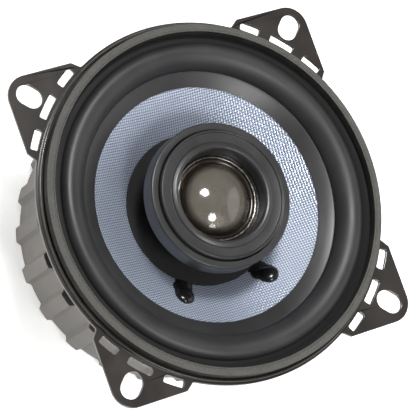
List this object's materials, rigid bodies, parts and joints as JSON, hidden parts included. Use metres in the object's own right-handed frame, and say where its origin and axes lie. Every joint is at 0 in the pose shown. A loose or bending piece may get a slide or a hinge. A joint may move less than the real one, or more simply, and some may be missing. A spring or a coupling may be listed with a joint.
{
  "type": "coaxial car speaker",
  "caption": "Two-way coaxial car speaker: pressed basket with slotted mounting ears, woven cone, half-roll surround, dome tweeter on a post and a ribbed magnet boot.",
  "frame": {"origin": "centre of the magnet boot's flat back face, on the speaker axis", "axes": "+Z along the speaker axis towards the listener; the mounting ears are on the diagonals of X and Y; the terminals are on the -Y side"},
  "size_m": [0.1012, 0.1012, 0.0531],
  "materials": {
    "black_powder_coat": "matt to satin black powder coat",
    "gasket_foam": "fine-textured matt",
    "surround_rubber": "satin",
    "glass_fibre_weave": "silver-blue resin-coated weave",
    "black_cloth": "matt weave",
    "black_adhesive": "glossy",
    "former_film": "amber film",
    "copper_wire": "enamelled copper",
    "spider_cloth": "resin-dipped cotton",
    "tinsel_braid": "copper braid",
    "zinc_steel": "zinc plated",
    "ferrite": "ground dark grey",
    "rivet_steel": "bright",
    "boot_rubber": "matt",
    "post_metal": "black satin",
    "tweeter_plastic": "satin",
    "chassis_plastic": "matt",
    "nickel_steel": "nickel plated",
    "felt": "felt",
    "satin_ring": "satin",
    "smoky_film": "glossy smoky film",
    "suspension_film": "glossy dark brown",
    "phenolic_board": "phenolic paper",
    "tinned_brass": "tinned",
    "capacitor_sleeve": "shrink sleeve",
    "tinned_wire": "tinned",
    "wire_black": "PVC",
    "wire_red": "PVC"
  },
  "bodies": {
    "frame": {"basket": "black_powder_coat", "front_gasket": "gasket_foam", "surround": "surround_rubber", "spider": "spider_cloth", "tinsel_lead_1": "tinsel_braid", "tinsel_lead_2": "tinsel_braid", "top_plate": "zinc_steel", "ferrite_magnet": "ferrite", "pole_yoke": "zinc_steel", "basket_rivet_1": "rivet_steel", "basket_rivet_2": "rivet_steel", "basket_rivet_3": "rivet_steel", "basket_rivet_4": "rivet_steel", "magnet_boot": "boot_rubber", "tweeter_post": "post_metal", "post_nut": "zinc_steel", "tweeter_housing": "tweeter_plastic", "tweeter_bezel": "tweeter_plastic", "tweeter_chassis": "chassis_plastic", "tweeter_magnet_cup": "nickel_steel", "tweeter_magnet": "nickel_steel", "tweeter_pole_plate": "nickel_steel", "tweeter_damping_pad": "felt", "tweeter_retaining_ring": "satin_ring", "tweeter_suspension": "suspension_film", "terminal_board": "phenolic_board", "terminal_positive": "tinned_brass", "terminal_negative": "tinned_brass", "terminal_rivet_1": "rivet_steel", "terminal_rivet_2": "rivet_steel", "crossover_capacitor": "capacitor_sleeve", "capacitor_lead_1": "tinned_wire", "capacitor_lead_2": "tinned_wire", "tweeter_wire_negative": "wire_black", "tweeter_wire_positive": "wire_red"},
    "cone_assembly": {"cone": "glass_fibre_weave", "dust_skirt": "black_cloth", "lead_bead_1": "black_adhesive", "lead_bead_2": "black_adhesive", "voice_coil_former": "former_film", "voice_coil_winding": "copper_wire"},
    "dome_assembly": {"tweeter_dome": "smoky_film", "tweeter_coil": "copper_wire"}
  },
  "joints": [
    {"name": "cone_travel", "type": "slide", "parent": "frame", "child": "cone_assembly", "axis": [0, 0, 1], "range_m": [-0.003, 0.003], "stiffness_N_per_m": 600, "deforming": ["surround", "spider", "tinsel_lead_1", "tinsel_lead_2"]},
    {"name": "dome_travel", "type": "slide", "parent": "frame", "child": "dome_assembly", "axis": [0, 0, 1], "range_m": [-0.0003, 0.0003], "stiffness_N_per_m": 60, "deforming": ["tweeter_suspension"]}
  ]
}
